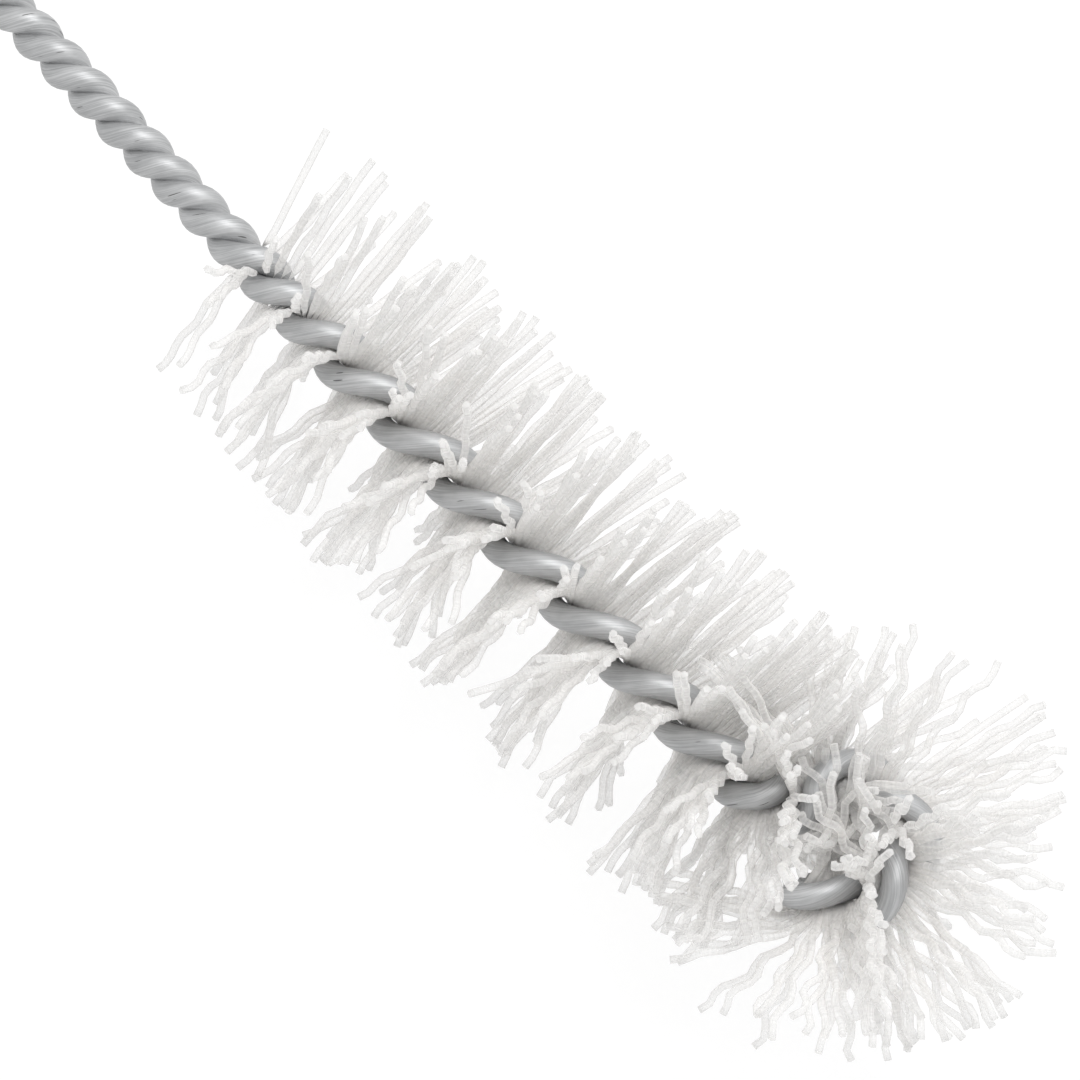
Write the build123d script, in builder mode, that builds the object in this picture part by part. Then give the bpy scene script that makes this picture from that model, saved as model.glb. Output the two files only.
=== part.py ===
from math import acos, atan2, ceil, cos, degrees, pi, radians, sin, sqrt, tau
import os

from build123d import *

# Bottle brush: one wire folded at the hanging eye, its two legs twisted left-handed over the whole
# length, with cut filaments clamped between them and the tip curled into a small loop.
# Millimetres. X runs along the stem to the tip and Z is up. The brush lies on its eye and on its
# first bristles, and the origin is under the middle of it on the surface that it lies on.

# Wire
wire_diameter = 1.5
leg_clearance = 0.03            # kept between the two legs where they lie against each other
stem_pitch = 5.13               # one full turn of the bare stem
head_pitch = 10.4               # one full turn where filaments hold the legs apart
neck_run = 4.0                  # the twist starts over this length below the eye

# Lengths along the core, from the neck below the eye
stem_length = 90.54             # to the first filament
head_length = 45.3              # from the first filament to the bend at the tip
twist_lead = 2.7                # the twist starts to slacken this far before the first filament
twist_run = 17.0                # and has its head pitch after this length
opening_lead = 7.0              # the legs start to part this far before the first filament
opening_run = 11.0              # and are fully apart after this length

# Curled tip
bend_radius = 3.0               # first bend, to the left
loop_radius = 3.9               # loop that follows it, to the right
loop_offset = 2.0               # of the loop's middle from the line of the stem

# Hanging eye
eye_inner_diameter = 10.0
neck_radius = 3.0               # where the legs flare into the eye

# Filaments
filament_length = 19.5          # from cut end to cut end, so also the width of the head
filament_width = 0.45
filament_clearance = 0.06
row_step = 0.58                 # from one row to the next on the straight head
fan_step = 0.75                 # from one row to the next on the curled tip
first_row_gap = 0.6             # kept free of rows on either side of the start of the bend
single_run = 8.0                # the first rows are one filament deep, the others two
loop_core_radius = 2.4          # filaments that point into the loop end at this distance from its middle
lean_angle = 5.0                # of the two filaments in a row, one to the tip and one to the eye
trim_share = 0.05               # how much shorter the shortest filament is cut

# Facets
wire_sides = 8
stem_runs_per_turn = 8
head_runs_per_turn = 11
eye_run = 1.5                   # length of one straight run around the eye

wire_radius = wire_diameter / 2
layer_pitch = filament_width + filament_clearance
stack_height = layer_pitch + filament_width + 2 * filament_clearance
stem_run = stem_pitch / stem_runs_per_turn
head_run = head_pitch / head_runs_per_turn
stem_spread = (wire_radius + leg_clearance / 2) / cos(pi / stem_runs_per_turn)
head_spread = (wire_radius + stack_height / 2) / cos(pi / head_runs_per_turn)
bend_start = stem_length + head_length
bend_angle = acos((bend_radius - loop_offset) / (bend_radius + loop_radius))
loop_start = bend_start + bend_radius * bend_angle
loop_angle = bend_angle + pi
loop_middle = bend_start + (bend_radius + loop_radius) * sin(bend_angle)
eye_radius = eye_inner_diameter / 2 + wire_radius
flare_angle = acos((stem_spread + neck_radius) / (eye_radius + neck_radius))
golden_share = (sqrt(5) - 1) / 2

with BuildLine() as core_line:
    core_straight = Line((0, 0), (bend_start, 0))
    core_bend = JernArc(core_straight @ 1, core_straight % 1, bend_radius, degrees(bend_angle))
    core_loop = JernArc(core_bend @ 1, core_bend % 1, loop_radius, -degrees(loop_angle))
core = core_line.wires()[0]

with BuildLine() as eye_line:
    eye_flare = JernArc((0, stem_spread), (-1, 0), neck_radius, -degrees(flare_angle))
    eye_round = JernArc(eye_flare @ 1, eye_flare % 1, eye_radius, 180 + 2 * degrees(flare_angle))
    JernArc(eye_round @ 1, eye_round % 1, neck_radius, -degrees(flare_angle))
eye = eye_line.wires()[0]
eye_back = eye.bounding_box().min.X


def climb(distance, run):
    # Zero before the run, one after it.
    return min(max(distance / run, 0), 1)


def climbed(distance, run):
    # The area under the climb up to this distance.
    along = min(max(distance, 0), run)
    return along * along / (2 * run) + max(distance - run, 0)


def turns(distance):
    # Turns of the twist from the neck up to this distance along the core.
    slack = climbed(distance - stem_length + twist_lead, twist_run)
    return climbed(distance, neck_run) / stem_pitch - slack * (1 / stem_pitch - 1 / head_pitch)


def spread(distance):
    # Distance of each leg's middle from the core.
    opened = climb(distance - stem_length + opening_lead, opening_run)
    return stem_spread + (head_spread - stem_spread) * opened


def across(distance):
    # The plane across the core, with x to the left of it and y up.
    along = core.tangent_at(distance, PositionMode.LENGTH)
    return Plane(core.position_at(distance, PositionMode.LENGTH), Vector(0, 0, 1).cross(along), along)


def toward_leg(distance):
    # Direction from the core to the first leg. It turns left-handed along the core.
    cut = across(distance)
    angle = -tau * turns(distance)
    return cut.x_dir * cos(angle) + cut.y_dir * sin(angle)


def leg_point(distance, side):
    return across(distance).origin + toward_leg(distance) * spread(distance) * side


def stations():
    # Distances along the core at which the faceted legs have their corners, fitted to end where it ends.
    found = [0]
    while found[-1] < core.length:
        slackened = climb(found[-1] - stem_length + twist_lead, twist_run)
        found.append(found[-1] + stem_run + (head_run - stem_run) * slackened)
    return [distance * core.length / found[-1] for distance in found]


def free_reach(distance, direction, trimmed):
    # How far a filament may go from the core before it meets the rows on another part of the tip.
    cut = across(distance)
    reach = trimmed
    inward = -direction.dot(cut.x_dir)
    if distance > bend_start and direction.X < 0:
        reach = min(reach, (cut.origin.X - bend_start - first_row_gap) / -direction.X)
    if bend_start < distance < loop_start and direction.X > 0:
        reach = min(reach, (loop_middle - first_row_gap - cut.origin.X) / direction.X)
    if distance >= loop_start and inward > 0:
        reach = min(reach, (loop_radius - loop_core_radius) / inward)
    return reach


def filament(distance, side, number):
    # The plane of a filament's first cut end, looking along it, and its length.
    cut = across(distance)
    gap = toward_leg(distance)
    lean = radians(lean_angle) * -side
    direction = cut.z_dir.cross(gap) * cos(lean) + cut.z_dir * sin(lean)
    trimmed = filament_length / 2 * (1 - trim_share * (number * golden_share % 1))
    behind = free_reach(distance, -direction, trimmed)
    ahead = free_reach(distance, direction, trimmed)
    start = cut.origin + gap * side * layer_pitch / 2 - direction * behind
    return Plane(start, gap, direction), behind + ahead


# Rows of filaments, gathered into one tuft for each half turn of the twist.
row_count = int((head_length - first_row_gap) / row_step)
fan_count = int((core.length - bend_start - first_row_gap) / fan_step)
rows = [stem_length + number * row_step for number in range(row_count)]
rows += [bend_start + first_row_gap + number * fan_step for number in range(fan_count)]
tufts = {}
for number, distance in enumerate(rows):
    half_turn = int(2 * (turns(distance) - turns(stem_length)))
    sides = [0] if distance < stem_length + single_run else [-1, 1]
    tufts.setdefault(half_turn, []).extend(filament(distance, side, number) for side in sides)

# How the brush lies: tilted up from the back of the eye until its lowest bristle clears the surface.
ends = [start.origin for group in tufts.values() for start, length in group]
ends += [start.origin + start.z_dir * length for group in tufts.values() for start, length in group]
tilt = max(atan2(-end.Z - wire_radius, end.X - eye_back) for end in ends)
tip_end = max(end.X * cos(tilt) - end.Z * sin(tilt) for end in ends)
middle_x = (tip_end + (eye_back - wire_radius) * cos(tilt)) / 2
middle_y = (max(end.Y for end in ends) + min(end.Y for end in ends)) / 2
rest = Plane(
    origin=(-middle_x, -middle_y, wire_radius * cos(tilt) - eye_back * sin(tilt)),
    x_dir=(cos(tilt), 0, sin(tilt)),
    z_dir=(-sin(tilt), 0, cos(tilt)),
)

eye_runs = ceil(eye.length / eye_run)
wire_points = [leg_point(distance, 1) for distance in reversed(stations())]
wire_points += [eye.position_at(number / eye_runs) for number in range(1, eye_runs)]
wire_points += [leg_point(distance, -1) for distance in stations()]
wire_points = [rest.from_local_coords(point) for point in wire_points]

os.makedirs("parts", exist_ok=True)

with BuildPart() as twisted_wire:
    with BuildLine():
        Polyline(*wire_points)
    with BuildSketch(Plane(wire_points[0], z_dir=wire_points[1] - wire_points[0])):
        RegularPolygon(wire_radius, wire_sides)
    sweep(transition=Transition.RIGHT)
twisted_wire.part.label = "twisted_wire"
export_step(twisted_wire.part, "parts/twisted_wire.step")

for half_turn, group in tufts.items():
    with BuildPart() as tuft:
        for start, length in group:
            with BuildSketch(Plane(rest.location * start.location)):
                Rectangle(filament_width, filament_width)
            extrude(amount=length)
    tuft.part.label = f"bristle_tuft_{half_turn + 1:02d}"
    export_step(tuft.part, f"parts/bristle_tuft_{half_turn + 1:02d}.step")
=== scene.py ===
import math
import bpy
import numpy as np
from mathutils import Matrix, Vector


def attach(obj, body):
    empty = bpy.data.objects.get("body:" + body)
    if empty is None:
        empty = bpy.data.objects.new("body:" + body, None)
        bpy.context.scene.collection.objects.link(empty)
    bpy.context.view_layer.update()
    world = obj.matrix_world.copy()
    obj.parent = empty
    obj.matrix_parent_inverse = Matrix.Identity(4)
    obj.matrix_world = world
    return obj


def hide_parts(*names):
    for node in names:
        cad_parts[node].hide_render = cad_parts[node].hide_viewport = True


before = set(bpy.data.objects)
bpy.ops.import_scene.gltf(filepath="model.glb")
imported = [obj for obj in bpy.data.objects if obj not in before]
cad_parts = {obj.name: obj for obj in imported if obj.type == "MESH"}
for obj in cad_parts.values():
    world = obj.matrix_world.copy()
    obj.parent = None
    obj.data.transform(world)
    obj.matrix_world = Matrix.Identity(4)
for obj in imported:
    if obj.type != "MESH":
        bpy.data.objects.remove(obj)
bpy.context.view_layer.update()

print("frame loaded:", len(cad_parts), "nodes")

# Bottle brush. Millimetres in the brush's own frame: x along the stem from the neck below the eye,
# y to its left, z up from the plane of the eye. place() lays it down as the CAD model lies.
brush = {
    "wireRadius": 0.83, "stemSpread": 0.68, "headSpread": 1.17,     # the legs overlap a little on the stem
    "stemTurn": 5.13, "headTurn": 10.4, "neckRun": 3.56,            # lengths of one turn, and where it starts
    "stemLength": 90.54, "headLength": 46.3,
    "twistLead": 4.0, "twistRun": 15.5, "openingLead": 2.5, "openingRun": 13.0,
    "bendTurn": 0.2, "bendTurnLead": 2, "bendTurnRun": 6,           # turned a little more at the bend
    "bendRadius": 2.0, "loopRadius": 3.9, "loopOffset": 2.0,
    "tilt": math.radians(4.48299), "origin": (-70.6253, -2.3233, 1.8122),
}
bendStart = brush["stemLength"] + brush["headLength"]
bendToLoop = brush["bendRadius"] + brush["loopRadius"]             # from the bend's middle to the loop's
bendAngle = math.acos((brush["bendRadius"] - brush["loopOffset"]) / bendToLoop)
loopStart = bendStart + brush["bendRadius"] * bendAngle
loopMiddle = bendStart + bendToLoop * math.sin(bendAngle)
coreLength = loopStart + brush["loopRadius"] * (bendAngle + math.pi)
upward = np.array([0.0, 0.0, 1.0])
millimetre = 0.001


def climb(distance, run):
    # Zero before the run, one after it.
    return np.clip(distance / run, 0, 1)


def climbed(distance, run):
    # The area under the climb: half a square along the run, then a straight line.
    along = np.clip(distance, 0, run)
    return along * along / (2 * run) + np.maximum(distance - run, 0)


def turns(distance, lead=brush["twistLead"], run=brush["twistRun"], bent=brush["bendTurn"]):
    # Turns of the twist: one per stem turn, slackening to one per head turn, and a little more at the bend.
    slackRate = 1 / brush["stemTurn"] - 1 / brush["headTurn"]
    slack = climbed(distance - brush["stemLength"] + lead, run) * slackRate
    atBend = bent * climb(distance - bendStart + brush["bendTurnLead"], brush["bendTurnRun"])
    return climbed(distance, brush["neckRun"]) / brush["stemTurn"] - slack + atBend


def spread(distance):
    # A leg's distance from the core, growing where the filaments open the twist.
    opened = climb(distance - brush["stemLength"] + brush["openingLead"], brush["openingRun"])
    return brush["stemSpread"] + (brush["headSpread"] - brush["stemSpread"]) * opened


def column(values):
    return np.asarray(values)[..., None]


def unit(vectors):
    return vectors / np.linalg.norm(vectors, axis=-1, keepdims=True)


def corePath(distance):
    # A straight line, then an arc to the left, then a loop to the right: point, heading and left of it.
    bent = np.clip(distance - bendStart, 0, loopStart - bendStart) / brush["bendRadius"]
    looped = np.maximum(distance - loopStart, 0) / brush["loopRadius"]
    heading = bent - looped
    x = np.minimum(distance, bendStart) + brush["bendRadius"] * np.sin(bent)
    y = brush["bendRadius"] * (1 - np.cos(bent))
    onLoop = distance > loopStart
    x = np.where(onLoop, loopMiddle - brush["loopRadius"] * np.sin(heading), x)
    y = np.where(onLoop, brush["loopOffset"] + brush["loopRadius"] * np.cos(heading), y)
    flat = np.zeros_like(heading)
    point = np.stack([x, y, flat], axis=-1)
    along = np.stack([np.cos(heading), np.sin(heading), flat], axis=-1)
    return point, along, np.cross(upward, along)


def towardLeg(distance):
    # From the core to the first leg: the left vector turned about the heading, left-handed.
    angle = -2 * np.pi * turns(distance)
    return corePath(distance)[2] * column(np.cos(angle)) + upward * column(np.sin(angle))


def place(points):
    # The brush's own millimetres to the shared frame's metres: turned about y by the tilt, then moved.
    lean, side = math.cos(brush["tilt"]), math.sin(brush["tilt"])
    turned = points @ np.array([[lean, 0, side], [0, 1, 0], [-side, 0, lean]])
    return (turned + np.array(brush["origin"])) * millimetre


def tube(path, normals, radius, sides):
    # A circle carried along each path: path + radius (cos a first + sin a second), cut flat at both ends.
    # The path is an array of curves, points and coordinates.
    curves, points = path.shape[:2]
    heading = unit(np.gradient(path, axis=1))
    first = unit(normals - heading * np.sum(normals * heading, axis=-1, keepdims=True))
    second = np.cross(heading, first)
    angle = np.arange(sides) * 2 * np.pi / sides
    ring = first[:, :, None] * column(np.cos(angle)) + second[:, :, None] * column(np.sin(angle))
    verts = path[:, :, None] + ring * np.broadcast_to(radius, (curves, points))[:, :, None, None]
    index = np.arange(curves * points * sides).reshape(curves, points, sides)
    here, turned = index, np.roll(index, -1, axis=2)
    quads = np.stack([here[:, :-1], turned[:, :-1], turned[:, 1:], here[:, 1:]], axis=-1).reshape(-1, 4)
    caps = np.concatenate([index[:, 0, ::-1], index[:, -1]])
    return verts.reshape(-1, 3), quads.tolist() + caps.tolist(), angle


def addPiece(name, verts, faces, attribute, values, nodes, material):
    # A smooth mesh at the origin with one vector attribute, standing for CAD nodes.
    mesh = bpy.data.meshes.new(name)
    mesh.from_pydata(place(verts).tolist(), [], faces)
    stored = mesh.attributes.new(attribute, "FLOAT_VECTOR", "POINT")
    stored.data.foreach_set("vector", values.astype(np.float32).ravel())
    mesh.polygons.foreach_set("use_smooth", np.array([len(face) == 4 for face in faces]))      # flat cut ends
    mesh.update()
    piece = bpy.data.objects.new(name, mesh)
    bpy.context.scene.collection.objects.link(piece)
    piece.data.materials.append(material)
    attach(piece, "root")
    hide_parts(*nodes)


class Feed:
    # One shader socket. Sums, products and the like of feeds become Math nodes.
    def __init__(self, tree, socket=None):
        self.tree = tree
        self.socket = socket

    def node(self, kind, settings=None, sockets=None, output=0):
        # Any node: settings first, then its sockets by name or number, as values or links.
        made = self.tree.nodes.new(kind)
        for name, value in (settings or {}).items():
            setattr(made, name, value)
        for name, value in (sockets or {}).items():
            if isinstance(value, Feed):
                self.tree.links.new(value.socket, made.inputs[name])
            else:
                made.inputs[name].default_value = value
        return Feed(self.tree, made.outputs[output] if len(made.outputs) else None)

    def math(self, operation, first, second=0.0):
        return self.node("ShaderNodeMath", {"operation": operation}, {0: first, 1: second})

    def __add__(self, other):
        return self.math("ADD", self, other)

    def __sub__(self, other):
        return self.math("SUBTRACT", self, other)

    def __rsub__(self, other):
        return self.math("SUBTRACT", other, self)

    def __mul__(self, other):
        return self.math("MULTIPLY", self, other)

    __radd__ = __add__
    __rmul__ = __mul__

    def above(self, low, high):
        # Zero below low, one above high, smooth between.
        settings = {"interpolation_type": "SMOOTHSTEP"}
        return self.node("ShaderNodeMapRange", settings, {0: self, 1: low, 2: high, 3: 0.0, 4: 1.0})

    def mixed(self, first, second):
        # One colour where this is zero, the other where it is one.
        return self.node("ShaderNodeMix", {"data_type": "RGBA"}, {0: self, 6: first, 7: second}, 2)

    def stretched(self, scale):
        return self.node("ShaderNodeVectorMath", {"operation": "MULTIPLY"}, {0: self, 1: scale})

    def noise(self, scale, detail, roughness):
        return self.node("ShaderNodeTexNoise", {}, {
            "Vector": self, "Scale": scale, "Detail": detail, "Roughness": roughness})


def newMaterial(name):
    material = bpy.data.materials.new(name)
    material.use_nodes = True
    material.node_tree.nodes.clear()
    return material, Feed(material.node_tree)


# Galvanised steel: drawn streaks along the wire, cloudy zinc and a few dark nicks.
steel = {
    "dark": (0.315, 0.32, 0.325, 1), "light": (0.53, 0.535, 0.54, 1), "nick": (0.14, 0.14, 0.14, 1),
    "roughness": 0.46, "cloudRoughness": 0.16, "streakRoughness": 0.12, "nickRoughness": 0.2,
    "metallic": 0.55, "bump": 0.45, "bumpDepth": 0.00005,
}


def steelMaterial():
    material, shade = newMaterial("galvanisedSteel")
    run = shade.node("ShaderNodeAttribute", {"attribute_name": "wireRun"}, output=1)   # cos, sin, length
    streak = run.stretched((5.0, 5.0, 0.16)).noise(2.2, 3.0, 0.6)
    cloud = run.stretched((0.7, 0.7, 0.5)).noise(1.1, 3.0, 0.55)
    nick = run.stretched((3.0, 3.0, 0.55)).noise(1.35, 1.0, 0.4).above(0.735, 0.765)
    tone = (streak * 0.9 + cloud * 0.5 - 0.2).above(0.25, 0.75)
    colour = nick.mixed(tone.mixed(steel["dark"], steel["light"]), steel["nick"])
    base = steel["roughness"] - steel["streakRoughness"]
    rough = cloud * steel["cloudRoughness"] + streak * steel["streakRoughness"] + base
    rough = rough + nick * steel["nickRoughness"]
    bump = shade.node("ShaderNodeBump", {}, {
        "Strength": steel["bump"], "Distance": steel["bumpDepth"], "Height": streak - nick})
    surface = shade.node("ShaderNodeBsdfPrincipled", {}, {
        "Base Color": colour, "Roughness": rough, "Metallic": steel["metallic"], "Normal": bump})
    shade.node("ShaderNodeOutputMaterial", {}, {"Surface": surface})
    return material


# Clear nylon: seen through in the middle and denser towards the edge, a little warmer or milkier from one
# filament to the next, with painted shade in patches along the inner half of each arm, and dull at the cut ends.
nylon = {
    "cool": (0.985, 0.98, 0.972, 1), "warm": (1.0, 0.978, 0.955, 1),
    # The band colour is painted shade: darker patches along the filaments for the light and dark of clear crimped
    # nylon.
    "end": (0.99, 0.982, 0.973, 1), "paintedShade": (0.91, 0.9, 0.888, 1), "paintedShadeShare": 0.5,
    "roughness": 0.24, "milkRoughness": 0.14, "fineRoughness": 0.1, "endRoughness": 0.2,
    "ior": 1.53, "bump": 0.12, "bumpDepth": 0.00005, "through": 0.55,
    "clear": 0.3, "edge": 0.58, "edgeBlend": 0.35, "milk": 0.16, "bands": 0.5, "clamped": 0.5,      # opacity
}


def nylonMaterial():
    material, shade = newMaterial("clearNylon")
    # The attribute holds a filament's number, the share of its arm that is passed, and the length.
    strand = shade.node("ShaderNodeAttribute", {"attribute_name": "strand"}, output=1)
    reach = shade.node("ShaderNodeSeparateXYZ", {}, {0: strand}, 1)
    milk = strand.stretched((37.0, 0.0, 0.55)).noise(1.0, 2.0, 0.5)
    fine = strand.stretched((91.0, 0.0, 3.0)).noise(1.3, 2.0, 0.6)
    colour = milk.above(0.35, 0.65).mixed(nylon["cool"], nylon["warm"])
    # Painted shade: darker patches along each filament for the light and dark of clear crimped nylon. They give
    # way to the end colour over the outer half of each arm.
    colour = (fine.above(0.42, 0.62) * nylon["paintedShadeShare"]).mixed(colour, nylon["paintedShade"])
    colour = reach.above(0.55, 1.0).mixed(colour, nylon["end"])
    base = nylon["roughness"] - nylon["fineRoughness"]
    rough = milk * nylon["milkRoughness"] + fine * nylon["fineRoughness"] + base
    rough = rough + reach.above(0.97, 1.0) * nylon["endRoughness"]
    bump = shade.node("ShaderNodeBump", {}, {
        "Strength": nylon["bump"], "Distance": nylon["bumpDepth"], "Height": fine})
    edge = shade.node("ShaderNodeLayerWeight", {}, {"Blend": nylon["edgeBlend"]}, 1)
    alpha = edge * nylon["edge"] + (milk - 0.5) * nylon["milk"] + (fine - 0.5) * nylon["bands"] + nylon["clear"]
    alpha = alpha + (1 - reach.above(0.08, 0.24)) * nylon["clamped"]       # several lie on one another there
    surface = shade.node("ShaderNodeBsdfPrincipled", {}, {
        "Base Color": colour, "Roughness": rough, "IOR": nylon["ior"], "Normal": bump})
    through = shade.node("ShaderNodeBsdfTranslucent", {}, {"Color": nylon["cool"]})
    body = shade.node("ShaderNodeMixShader", {}, {0: nylon["through"], 1: surface, 2: through})
    clear = shade.node("ShaderNodeBsdfTransparent")
    seen = shade.node("ShaderNodeMixShader", {}, {0: alpha, 1: clear, 2: body})
    shade.node("ShaderNodeOutputMaterial", {}, {"Surface": seen})
    return material


steelFinish, nylonFinish = steelMaterial(), nylonMaterial()
print("materials made")

# The wire: the first leg back from the tip, round the eye, and the second leg out to the tip again.
wire = {
    "step": 0.25, "sides": 16, "chamfer": 0.12,
    "eyeInner": 10.0, "neckRadius": 3.0, "eyePoints": 72, "flarePoints": 14,
}


def wireLine():
    # Legs: core + spread toward the leg. Eye: two flares of the neck radius and a round between them.
    distance = np.linspace(0, coreLength, int(coreLength / wire["step"]))
    outward = towardLeg(distance)
    reach = outward * column(spread(distance))
    core = corePath(distance)[0]
    eyeRadius = wire["eyeInner"] / 2 + brush["wireRadius"]
    flareMiddle = brush["stemSpread"] + wire["neckRadius"]
    flareAngle = math.acos(flareMiddle / (eyeRadius + wire["neckRadius"]))
    flare = np.linspace(0, flareAngle, wire["flarePoints"])[1:]
    sweep = np.linspace(np.pi / 2 - flareAngle, 1.5 * np.pi + flareAngle, wire["eyePoints"])[1:-1]
    eyeMiddle = -(eyeRadius + wire["neckRadius"]) * math.sin(flareAngle)
    flareOut = np.stack([np.sin(flare), np.cos(flare), 0 * flare], axis=-1)
    roundOut = np.stack([np.cos(sweep), np.sin(sweep), 0 * sweep], axis=-1)
    flareLine = np.array([0, flareMiddle, 0]) - wire["neckRadius"] * flareOut
    roundLine = np.array([eyeMiddle, 0, 0]) + eyeRadius * roundOut
    mirrored = np.array([1, -1, 1])
    line = np.concatenate([
        (core + reach)[::-1], flareLine, roundLine, flareLine[::-1] * mirrored, core - reach])
    normals = np.concatenate([outward[::-1], flareOut, roundOut, flareOut[::-1] * mirrored, -outward])
    return line, normals


def makeWire():
    line, normals = wireLine()
    heading = unit(np.gradient(line, axis=0))
    radius = np.full(len(line), brush["wireRadius"])
    # The cut ends get a small chamfer: one more ring, further out and narrower.
    chamfer, narrow = wire["chamfer"], [brush["wireRadius"] - wire["chamfer"]]
    line = np.concatenate([line[:1] - heading[:1] * chamfer, line, line[-1:] + heading[-1:] * chamfer])
    normals = np.concatenate([normals[:1], normals, normals[-1:]])
    radius = np.concatenate([narrow, radius, narrow])
    verts, faces, angle = tube(line[None], normals[None], radius[None], wire["sides"])
    length = np.concatenate([[0], np.cumsum(np.linalg.norm(np.diff(line, axis=0), axis=-1))])
    run = np.stack(np.broadcast_arrays(np.cos(angle), np.sin(angle), column(length)), axis=-1)
    run = run.reshape(-1, 3)
    addPiece("twistedWire", verts, faces, "wireRun", run, ["twisted_wire"], steelFinish)
    print("wire:", len(faces), "faces")


makeWire()

# The filaments: each passes between the legs square to the line that joins them, so they turn with the twist.
filaments = {
    "seed": 7, "radius": 0.26, "sides": 5, "points": 27, "pointShare": 0.9, "numberStep": 0.618,
    "solidTwist": (2.7, 17.0, 0.0),         # lead, run and bend turn of the solids, to sort by their tufts
    "endGap": 0.25, "pinchEnd": 1.0, "pinchRun": 0.8, "floorGap": 0.02,
    # Places along the core, and the step from one filament to the next there.
    "spacing": [
        (brush["stemLength"], 0.42), (brush["stemLength"] + 11, 0.17),
        (bendStart - 6.5, 0.17), (bendStart - 4.5, 0.115), (loopStart - 1, 0.115), (loopStart + 1, 0.17),
        (loopStart + 1.4, 0.08), (loopStart + 2.7, 0.08), (loopStart + 3.2, 0.34), (loopStart + 5.6, 0.34),
        (loopStart + 6.4, 0.17), (coreLength - 7, 0.17), (coreLength - 4, 0.11),
    ],
    # Stretches of the core: start, run of the climb into it, end, run of the climb out of it.
    "fan": (bendStart - 3, 4, math.inf, 1), "loop": (loopStart - 1, 2, math.inf, 1),
    "bend": (bendStart - 1.5, 1.5, loopStart + 1.5, 0.6), "bendLower": (bendStart - 4.5, 1.5, math.inf, 1),
    "beforeSheet": (loopStart - 0.5, 1.5, loopStart + 2.6, 0.3),
    "sheet": (loopStart + 1.4, 0.2, loopStart + 3.8, 0.4),
    "fanTop": (loopStart + 1, 1, math.inf, 1), "looseLeft": (loopStart + 2, 1, math.inf, 1),
    "coreEnd": (coreLength - 2.2, 1.2, math.inf, 1),
    # Arm lengths, as shares of half a filament.
    "halfLength": 9.75, "trim": 0.09, "lengthShare": 1.02, "leftLonger": 0.03,
    "tipLonger": 0.09, "tipLongerRun": 35, "fanShorter": 0.01, "fanShorterRun": 3,
    # Lean along the core, in degrees.
    "lean": 5.0, "leanChange": 5.0, "startLean": -18.0, "startRun": 7.0, "startLeft": 0.65, "bendLean": 13.0,
    "bendBack": 16.0, "overLean": 66.0, "endLean": 60.0, "leanLimit": 70,
    "leanSpread": 7.0, "leanSpreadChange": 2.5, "fanLeanSpread": 11.0,
    # Splay across it, in degrees.
    "fanSplay": 56.0, "fanSplayChange": 12, "bendSplay": 48.0, "splayLimit": 62,
    "overSplay": 26.0, "overSplayChange": 8, "overSpread": 38.0, "splaySpread": 8.0, "fanSplaySpread": 14.0,
    # Arms that stand up at the bend and at the end: which way they lean, and from what slope on.
    "standAside": np.array([0.21, -0.12, 0.0]), "standFrom": 0.15, "calm": 0.5, "sheetEdge": 0.3,
    # Arms that point into the loop: how steeply they pass its far side, and which pass over it.
    "crossing": 20.0, "crossingSpread": 6, "overMiddle": loopStart + 2.2, "overHalf": 1.2, "strays": 0.03,
    "overShorter": 0.66,
    "hinge": 1.7, "hingeSoft": 0.36, "bow": 0.5,
    "crimp": 0.12, "fanCrimp": 0.27, "crimpLeft": 0.5, "crimpRange": (0.6, 1.25), "crimpFrom": 1.2, "crimpIn": 2.0,
    "crimpLength": 3.2, "crimpLengthRange": (0.85, 1.15), "crimpPlane": (0.35, 0.45), "crimpPlaneSpread": 0.5,
}


def within(distance, stretch):
    # One inside a stretch of the core and zero outside it, with a straight climb at either end.
    start, climbIn, end, climbOut = stretch
    return climb(distance - start, climbIn) * climb(end - distance, climbOut)


def filamentStations():
    # Where filaments sit along the core, from a step that changes along it: sparse at the handle end,
    # close at the bend, looser on the loop. Their numbers are the running sum of one over the step.
    distance = np.linspace(brush["stemLength"], coreLength - filaments["endGap"], 900)
    density = 1 / np.interp(distance, *zip(*filaments["spacing"]))
    filled = np.concatenate([[0], np.cumsum((density[1:] + density[:-1]) / 2 * np.diff(distance))])
    return np.interp(np.arange(int(filled[-1])), filled, distance)


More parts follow.
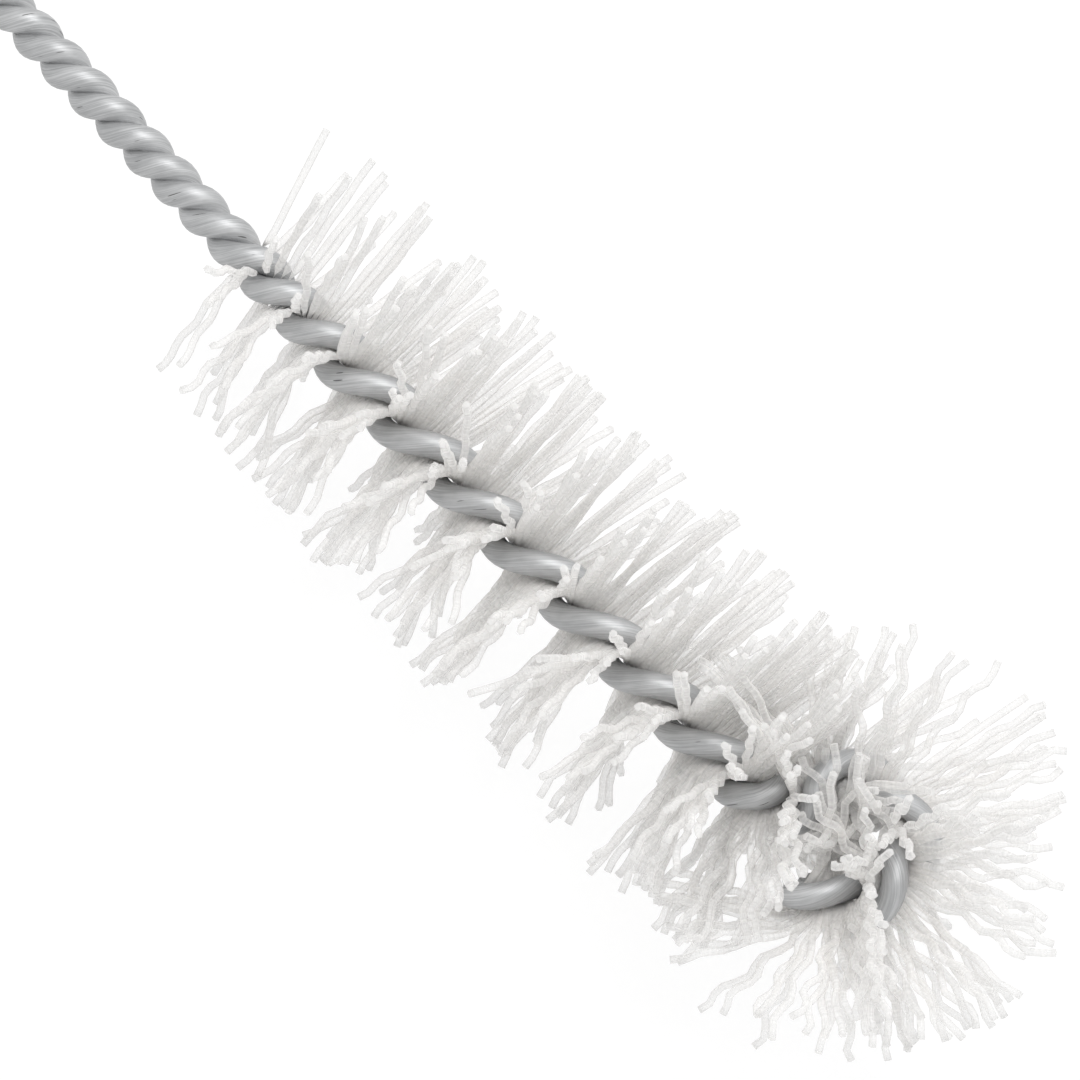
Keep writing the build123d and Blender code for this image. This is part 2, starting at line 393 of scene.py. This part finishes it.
def armLines(side, rng, distance):
    # One arm of every filament, from the core: out * reach, with splay across and lean along growing past
    # a hinge, a slow bow, and a crimp that waves along the arm. On the curled tip an arm that points up
    # or down spreads outwards, and one that points into the loop passes over or under its far side.
    f = filaments
    count = len(distance)
    along, left = corePath(distance)[1:]
    gap = towardLeg(distance)
    out = np.cross(along, gap) * side
    toLeft, toUp = out[:, 1], out[:, 2]
    outward = np.sign(np.sum(gap * left, axis=-1))
    outFromLoop = np.sum(out * left, axis=-1)
    onFan, onLoop, onBend = within(distance, f["fan"]), within(distance, f["loop"]), within(distance, f["bend"])
    loose = np.where(toLeft > 0, within(distance, f["looseLeft"]), onFan)       # the bend's left stays combed
    sheet = within(distance, f["sheet"]) * np.abs(toUp) ** f["sheetEdge"]       # laid over and under the loop
    atEnd = within(distance, f["coreEnd"])
    standing = np.maximum(onBend, atEnd) * np.maximum(toUp - f["standFrom"], 0) ** 0.5
    calm = 1 - f["calm"] * np.maximum(toUp, 0) * (1 - onLoop)                   # upright arms are straighter

    atStart = climb(brush["stemLength"] + f["startRun"] - distance, f["startRun"])
    atStart = atStart * (1 - f["startLeft"] + f["startLeft"] * toLeft)
    lean = (f["lean"] - f["leanChange"] * toLeft) * (1 - onFan) + f["startLean"] * atStart
    lean = lean + f["bendLean"] * within(distance, f["bendLower"]) * (1 - onLoop) * np.maximum(-toLeft, 0)
    lean = lean + f["overLean"] * sheet + f["endLean"] * atEnd
    leanSpread = f["leanSpread"] - f["leanSpreadChange"] * toLeft + (f["fanLeanSpread"] - f["leanSpread"]) * loose
    lean = lean + calm * rng.normal(0, 1, count) * leanSpread
    lean = lean - f["bendBack"] * within(distance, f["beforeSheet"]) * np.maximum(outFromLoop, 0)
    lean = lean * (1 - standing) + standing * np.degrees(along @ f["standAside"])

    fanned = np.where(toUp > 0, within(distance, f["fanTop"]), onLoop) * toUp ** 2
    over = f["overSplay"] + f["overSplayChange"] * np.sign(toUp) + f["overSpread"] * rng.uniform(-1, 1, count)
    splay = outward * ((f["fanSplay"] - f["fanSplayChange"] * toUp) * fanned - over * sheet)
    splay = splay * (1 - standing) + standing * outward * np.degrees(left @ f["standAside"])
    splay = splay - outward * f["bendSplay"] * onBend * np.minimum(toUp, 0) ** 2
    splaySpread = f["splaySpread"] + (f["fanSplaySpread"] - f["splaySpread"]) * onLoop
    splay = splay + calm * rng.normal(0, 1, count) * splaySpread

    length = f["halfLength"] * (1 - f["trim"] * rng.uniform(0, 1, count))
    share = f["lengthShare"] + f["leftLonger"] * toLeft
    share = share + f["tipLonger"] * climb(distance - brush["stemLength"], f["tipLongerRun"])
    length = length * (share - f["fanShorter"] * climb(distance - bendStart, f["fanShorterRun"]))
    inward = np.maximum(-outFromLoop, 0) * onLoop
    stray = rng.uniform(0, 1, count) < f["strays"]
    overUnder = np.where((np.abs(distance - f["overMiddle"]) < f["overHalf"]) | stray, 1.0, -1.0)
    length = length * (1 - f["overShorter"] * inward * (overUnder > 0))

    reach = column(length) * np.linspace(0, 1, f["points"] // 2 + 1) ** f["pointShare"]
    soft = f["hingeSoft"]
    ramp = (np.sqrt((reach - f["hinge"]) ** 2 + soft) + reach - math.sqrt(f["hinge"] ** 2 + soft)) / 2
    rise = overUnder * inward * np.tan(np.radians(f["crossing"] + f["crossingSpread"] * rng.normal(0, 1, count)))
    forward = np.tan(np.radians(np.clip(lean, -f["leanLimit"], f["leanLimit"])))
    across = np.tan(np.radians(np.clip(splay, -f["splayLimit"], f["splayLimit"])))
    slant = np.sqrt(1 + forward ** 2 + across ** 2)
    ramp = ramp / column(slant)                                                 # leaning makes an arm no longer
    straight = reach - ramp * column(slant - 1)

    wave = f["crimp"] * (1 - f["crimpLeft"] * toLeft) + (f["fanCrimp"] - f["crimp"]) * loose
    wave = wave * rng.uniform(*f["crimpRange"], count)
    waveLength = f["crimpLength"] * rng.uniform(*f["crimpLengthRange"], count)
    phase = rng.uniform(0, 2 * np.pi, count)
    planeBase, planeChange = f["crimpPlane"]
    plane = np.pi / 2 * np.maximum(onFan, planeBase - planeChange * toLeft)     # 0 is across, pi / 2 along
    plane = plane + rng.normal(0, f["crimpPlaneSpread"], count)
    ripple = np.sin(2 * np.pi * reach / column(waveLength) + column(phase))
    ripple = column(wave) * climb(reach - f["crimpFrom"], f["crimpIn"]) * ripple
    bend = (reach / f["halfLength"]) ** 2
    across = column(across) * ramp + column(rng.normal(0, f["bow"], count)) * bend
    forward = column(forward) * ramp + column(rng.normal(0, f["bow"], count)) * bend
    line = out[:, None] * column(straight) + upward * column(column(rise) * ramp)
    line = line + gap[:, None] * column(across + ripple * column(np.cos(plane)))
    line = line + along[:, None] * column(forward + ripple * column(np.sin(plane)))
    return line, reach, reach / column(length)


def filamentLines(distance):
    # Both arms of each filament in one line from end to end, set off sideways within the gap.
    f = filaments
    rng = np.random.default_rng(f["seed"])
    free = np.maximum(spread(distance) - brush["wireRadius"] - f["radius"], 0)
    middle = corePath(distance)[0] + towardLeg(distance) * column(rng.uniform(-1, 1, len(distance)) * free)
    back, ahead = armLines(-1, rng, distance), armLines(1, rng, distance)
    line = np.concatenate([back[0][:, :0:-1], ahead[0]], axis=1) + middle[:, None]
    length = np.concatenate([-back[1][:, :0:-1], ahead[1]], axis=1)
    share = np.concatenate([back[2][:, :0:-1], ahead[2]], axis=1)
    pinched = np.minimum(spread(distance) - brush["wireRadius"], f["radius"])
    opened = climb(np.abs(length) - f["pinchEnd"], f["pinchRun"])
    radius = column(pinched) + column(f["radius"] - pinched) * opened
    # One CAD tuft for each half turn, as the solids count them.
    half = 2 * (turns(distance, *f["solidTwist"]) - turns(brush["stemLength"], *f["solidTwist"]))
    tuft = np.minimum(half.astype(int), len(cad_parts) - 2)
    return line, radius, length, share, tuft


def offFloor(line):
    # Where a filament would go into the surface below, it lies on it.
    slope, lift = math.tan(brush["tilt"]), brush["origin"][2] / math.cos(brush["tilt"])
    clear = filaments["radius"] + filaments["floorGap"]
    lowest = clear / math.cos(brush["tilt"]) - lift - slope * line[..., 0]
    line[..., 2] = np.maximum(line[..., 2], lowest)
    return line


def makeFilaments():
    distance = filamentStations()
    line, radius, length, share, tuft = filamentLines(distance)
    line = offFloor(line)
    along = corePath(distance)[1]
    sides = filaments["sides"]
    total = 0
    for number in range(tuft.max() + 1):
        mine = tuft == number
        normals = np.broadcast_to(along[mine][:, None], line[mine].shape)
        verts, faces, angle = tube(line[mine], normals, radius[mine], sides)
        ids = column(np.flatnonzero(mine) * filaments["numberStep"] % 1)
        strand = np.stack(np.broadcast_arrays(ids, share[mine], length[mine]), axis=-1)
        strand = np.repeat(strand[:, :, None], sides, axis=2).reshape(-1, 3)
        name = f"{number + 1:02d}"
        nodes = ["bristle_tuft_" + name]
        addPiece("filaments." + name, verts, faces, "strand", strand, nodes, nylonFinish)
        total += len(faces)
    print("filaments:", len(tuft), "with", total, "faces")


makeFilaments()

# Floor, sky and lamp. What the camera, reflections and refractions see behind the brush is white.
studio = {
    "floorSize": 3.0, "floorLevel": -0.0002, "floorPale": 0.9, "floorGlow": 0.88, "floorShade": 0.14, "sky": 0.84,
    "key": 2.8, "keySize": 0.4, "keyDistance": 0.7, "keyFrom": (0.25, 0.5, 0.75),       # right, up and toward
}


def seenDirectly(shade):
    # One for camera, glossy and transmission rays.
    camera = shade.node("ShaderNodeLightPath", output="Is Camera Ray")
    paths = camera.socket.node.outputs
    total = camera + Feed(shade.tree, paths["Is Glossy Ray"]) + Feed(shade.tree, paths["Is Transmission Ray"])
    return total.above(0.0, 0.5)


def makeFloor():
    half, level = studio["floorSize"] / 2, studio["floorLevel"]
    corners = [(-half, -half, level), (half, -half, level), (half, half, level), (-half, half, level)]
    mesh = bpy.data.meshes.new("floor")
    mesh.from_pydata(corners, [], [(0, 1, 2, 3)])
    floor = bpy.data.objects.new("floor", mesh)
    bpy.context.scene.collection.objects.link(floor)
    material, shade = newMaterial("paleFloor")
    plain = shade.node("ShaderNodeBsdfDiffuse", {}, {"Color": (studio["floorPale"],) * 3 + (1,)})
    faint = shade.node("ShaderNodeBsdfDiffuse", {}, {"Color": (studio["floorShade"],) * 3 + (1,)})
    glow = shade.node("ShaderNodeEmission", {}, {"Color": (1, 1, 1, 1), "Strength": studio["floorGlow"]})
    white = shade.node("ShaderNodeAddShader", {}, {0: faint, 1: glow})
    surface = shade.node("ShaderNodeMixShader", {}, {0: seenDirectly(shade), 1: plain, 2: white})
    shade.node("ShaderNodeOutputMaterial", {}, {"Surface": surface})
    mesh.materials.append(material)


def makeSky():
    world = bpy.data.worlds.new("studio")
    bpy.context.scene.world = world
    world.use_nodes = True
    world.node_tree.nodes.clear()
    shade = Feed(world.node_tree)
    strength = seenDirectly(shade) * (1 - studio["sky"]) + studio["sky"]
    sky = shade.node("ShaderNodeBackground", {}, {"Color": (1, 1, 1, 1), "Strength": strength})
    shade.node("ShaderNodeOutputWorld", {}, {"Surface": sky})


# The camera: a long lens from nearly above, level, with the tip towards the lower right.
view = {
    "azimuth": 47.5, "elevation": 80.0, "distance": 0.9, "frameWidth": 66.26, "sensor": 36.0,
    "backFromBend": 20.9, "aside": 1.15,
}


def viewAxes():
    # Right, up and toward the camera, for an azimuth and an elevation.
    turn, rise = math.radians(view["azimuth"]), math.radians(view["elevation"])
    right = Vector((math.cos(turn), math.sin(turn), 0))
    toward = Vector((math.sin(turn) * math.cos(rise), -math.cos(turn) * math.cos(rise), math.sin(rise)))
    return right, toward.cross(right), toward


def makeCamera():
    data = bpy.data.cameras.new("camera")
    camera = bpy.data.objects.new("camera", data)
    bpy.context.scene.collection.objects.link(camera)
    right, up, toward = viewAxes()
    aim = Vector(place(np.array([bendStart - view["backFromBend"], view["aside"], 0.0])))
    turned = Matrix((right, up, toward)).transposed().to_4x4()
    camera.matrix_world = Matrix.Translation(aim + toward * view["distance"]) @ turned
    data.sensor_width = view["sensor"]
    data.lens = view["sensor"] * view["distance"] / (view["frameWidth"] * millimetre)
    bpy.context.scene.camera = camera
    return aim


def makeLamp(aim):
    # One round lamp, above and to the right as the camera sees it.
    data = bpy.data.lights.new("key", "AREA")
    data.shape = "DISK"
    data.size = studio["keySize"]
    data.energy = studio["key"]
    lamp = bpy.data.objects.new("key", data)
    bpy.context.scene.collection.objects.link(lamp)
    right, up, toward = viewAxes()
    across, above, near = studio["keyFrom"]
    direction = (toward * near + up * above + right * across).normalized()
    turned = direction.to_track_quat("Z", "Y").to_matrix().to_4x4()
    lamp.matrix_world = Matrix.Translation(aim + direction * studio["keyDistance"]) @ turned


makeFloor()
makeSky()
makeLamp(makeCamera())
bpy.context.scene.view_settings.view_transform = "Standard"
print("stage, lamp and camera set")
